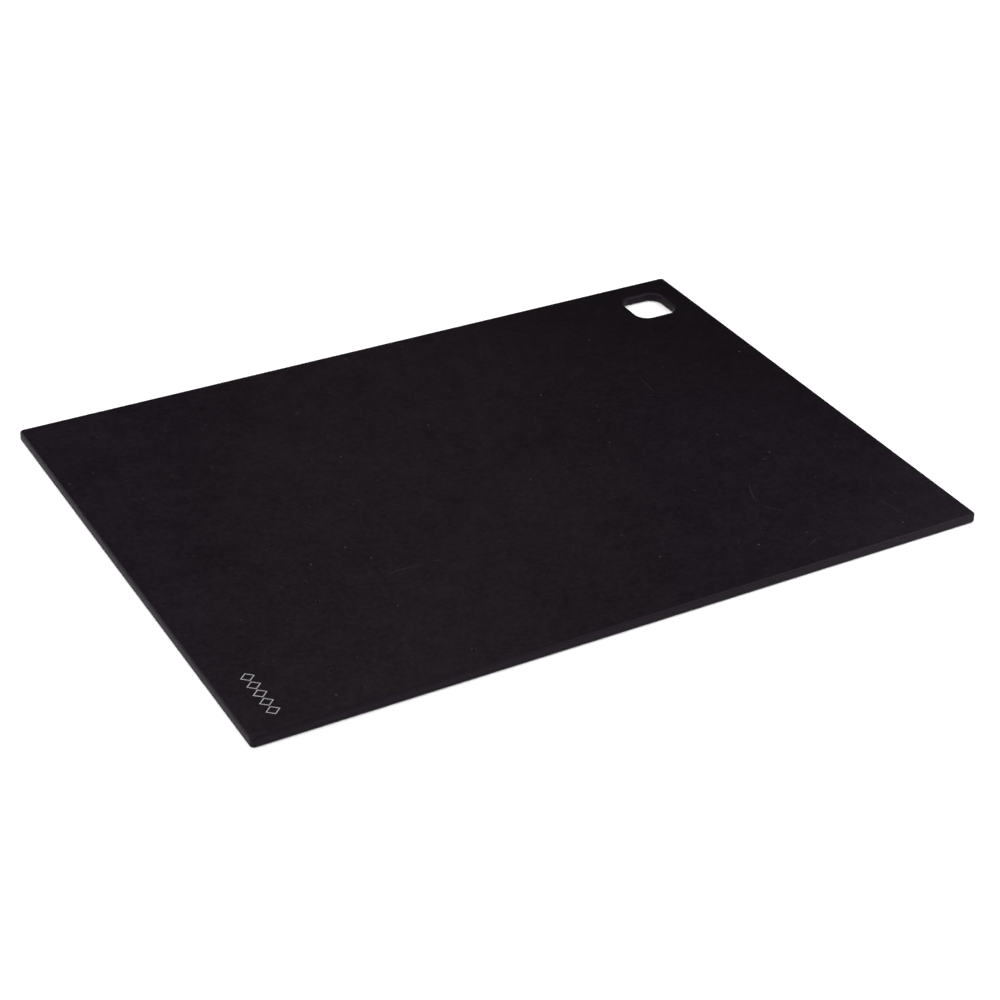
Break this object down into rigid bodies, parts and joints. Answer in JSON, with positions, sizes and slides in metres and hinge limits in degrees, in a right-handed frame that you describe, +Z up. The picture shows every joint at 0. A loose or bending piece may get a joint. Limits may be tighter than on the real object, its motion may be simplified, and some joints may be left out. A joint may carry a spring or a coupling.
{
  "type": "self healing cutting mat",
  "caption": "Thin flat rectangular cutting mat, pressed from plies, with rounded-over edges, a rounded square hanging hole near one corner and a small inlaid corner mark.",
  "frame": {"origin": "middle of the underside", "axes": "+X along the long side, towards the side with the hanging hole; +Y along the short side, towards the hanging hole; +Z up out of the work face"},
  "size_m": [0.44, 0.32, 0.006],
  "materials": {
    "cutting_face": "satin",
    "backing": "satin",
    "core": "satin",
    "mark": "satin"
  },
  "bodies": {
    "root": {"top_cutting_ply": "cutting_face", "upper_backing_ply": "backing", "core_ply": "core", "lower_backing_ply": "backing", "bottom_cutting_ply": "cutting_face", "corner_mark": "mark"}
  },
  "joints": []
}
